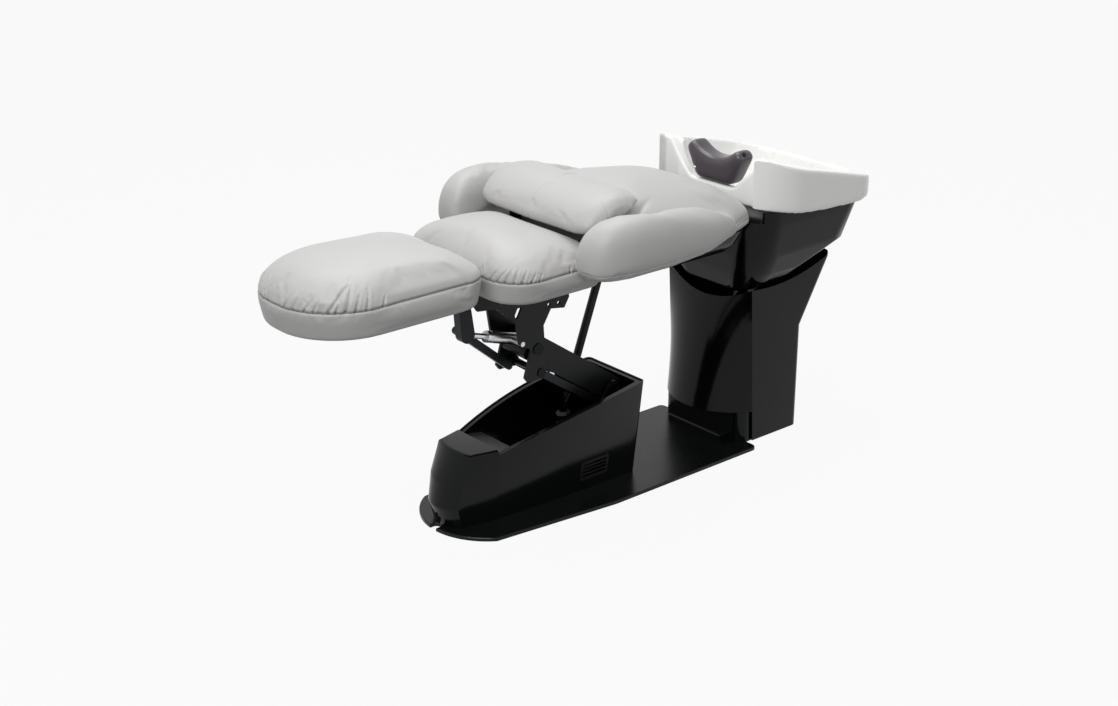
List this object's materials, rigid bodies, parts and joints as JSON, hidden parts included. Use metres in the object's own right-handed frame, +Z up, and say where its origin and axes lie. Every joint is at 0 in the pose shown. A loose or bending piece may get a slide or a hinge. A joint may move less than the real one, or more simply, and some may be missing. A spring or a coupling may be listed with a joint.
{
  "type": "hair washing bed",
  "caption": "Padded shampoo couch on a parallel lift with motor legrest, hinged lumbar pillow, side wings, and a tilting porcelain basin on its own black pedestal.",
  "frame": {"origin": "on the floor in the middle plane, under the lift arm's lower hinge pin", "axes": "+X towards the basin at the head end, +Y to the side away from the picture's viewer, +Z up"},
  "size_m": [1.957, 0.752, 0.908],
  "materials": {
    "black_coat": "black powder coat, satin",
    "plate_coat": "black enamel, gloss",
    "black_shell": "black moulded cover, gloss",
    "grey_panel": "grey moulded panel, satin",
    "vent_grey": "dark grey grille, matte",
    "bright_steel": "ground steel",
    "steel_tube": "zinc plated steel",
    "motor_alloy": "turned, satin",
    "gear_alloy": "die cast, dark",
    "plywood": "birch plywood, raw",
    "light_hide": "light grey upholstery leather, soft sheen",
    "porcelain": "white glaze",
    "soft_rubber": "black moulded gel rubber",
    "chrome_trim": "polished chrome",
    "drain_plastic": "white drain fitting"
  },
  "bodies": {
    "base": {"base_plate": "plate_coat", "frame_floor": "black_coat", "frame_cheek_near": "black_coat", "frame_cheek_far": "black_coat", "lift_pin": "bright_steel", "link_foot_pin": "bright_steel", "tie_foot_pin": "bright_steel", "nose_cover": "black_shell", "housing_cover": "black_shell", "housing_vent": "vent_grey", "housing_liner": "black_shell", "housing_tray": "grey_panel", "pedestal_frame": "black_coat", "bowl_pin": "bright_steel", "pedestal_front_cover": "black_shell", "pedestal_side_cover": "black_shell", "pedestal_plinth": "black_shell", "pedestal_rear_panel": "vent_grey", "waste_outlet": "drain_plastic"},
    "arm": {"lift_arm": "black_coat"},
    "link": {"levelling_link": "steel_tube"},
    "ram": {"ram_cylinder": "black_coat"},
    "rod": {"ram_rod": "chrome_trim"},
    "tie": {"tie_rod": "black_coat"},
    "seat": {"bracket_cheek_near": "black_coat", "bracket_cheek_far": "black_coat", "bracket_brace": "steel_tube", "bracket_cross_tube": "steel_tube", "head_pin": "bright_steel", "link_head_pin": "bright_steel", "leg_pin": "bright_steel", "leg_gear_case": "gear_alloy", "leg_motor": "motor_alloy", "seat_rail_near": "black_coat", "seat_rail_far": "black_coat", "seat_board": "plywood", "seat_cushion": "light_hide"},
    "legrest": {"legrest_arm_near": "black_coat", "legrest_arm_far": "black_coat", "legrest_board": "plywood", "legrest_cushion": "light_hide"},
    "back": {"back_rail_near": "black_coat", "back_rail_far": "black_coat", "back_board": "plywood", "back_pad": "light_hide", "back_wing_near": "light_hide", "back_wing_far": "light_hide", "back_shell": "black_shell", "tie_bracket": "black_coat"},
    "pillow": {"pillow": "light_hide"},
    "bowl": {"basin": "porcelain", "hood": "black_shell", "bowl_bracket": "black_coat", "drain_strainer": "chrome_trim", "neck_rest": "soft_rubber"}
  },
  "joints": [
    {"name": "lift", "type": "hinge", "parent": "base", "child": "arm", "pos_m": [0, 0, 0.275], "axis": [0, -1, 0], "range_deg": [0, 34]},
    {"name": "levelling_link", "type": "hinge", "parent": "base", "child": "link", "pos_m": [0.01, 0, 0.204], "axis": [0, -1, 0], "range_deg": [0, 34.07]},
    {"name": "seat_level", "type": "hinge", "parent": "arm", "child": "seat", "pos_m": [-0.27508, 0, 0.46619], "axis": [0, -1, 0], "range_deg": [-34.07, 0]},
    {"name": "back_level", "type": "hinge", "parent": "seat", "child": "back", "pos_m": [-0.17008, 0, 0.80519], "axis": [0, -1, 0], "range_deg": [0, 35.29]},
    {"name": "tie_swing", "type": "hinge", "parent": "back", "child": "tie", "pos_m": [0.09192, 0.08, 0.61519], "axis": [0, -1, 0], "range_deg": [-35.53, 0]},
    {"name": "ram_swing", "type": "hinge", "parent": "base", "child": "ram", "pos_m": [-0.1, 0, 0.062], "axis": [0, -1, 0], "range_deg": [0, 9.16]},
    {"name": "ram_stroke", "type": "slide", "parent": "ram", "child": "rod", "axis": [-0.1908, 0, 0.9816], "range_m": [-0.09216, 0]},
    {"name": "pillow_hinge", "type": "hinge", "parent": "seat", "child": "pillow", "pos_m": [-0.26208, 0, 0.80819], "axis": [0, -1, 0], "range_deg": [0, 24.7]},
    {"name": "legrest_lift", "type": "hinge", "parent": "seat", "child": "legrest", "pos_m": [-0.49008, 0, 0.67219], "axis": [0, -1, 0], "range_deg": [0, 50]},
    {"name": "bowl_tilt", "type": "hinge", "parent": "base", "child": "bowl", "pos_m": [0.68992, 0, 0.51219], "axis": [0, 1, 0], "range_deg": [0, 8]}
  ],
  "couplings": [
    {"joint": "levelling_link", "follows": "lift", "ratio": 1},
    {"joint": "seat_level", "follows": "lift", "ratio": -1},
    {"joint": "back_level", "follows": "lift", "ratio": 1.036},
    {"joint": "tie_swing", "follows": "lift", "ratio": -1.043},
    {"joint": "ram_swing", "follows": "lift", "ratio": 0.269},
    {"joint": "pillow_hinge", "follows": "lift", "ratio": 0.725},
    {"joint": "ram_stroke", "follows": "lift", "m_per_rad": -0.155}
  ]
}
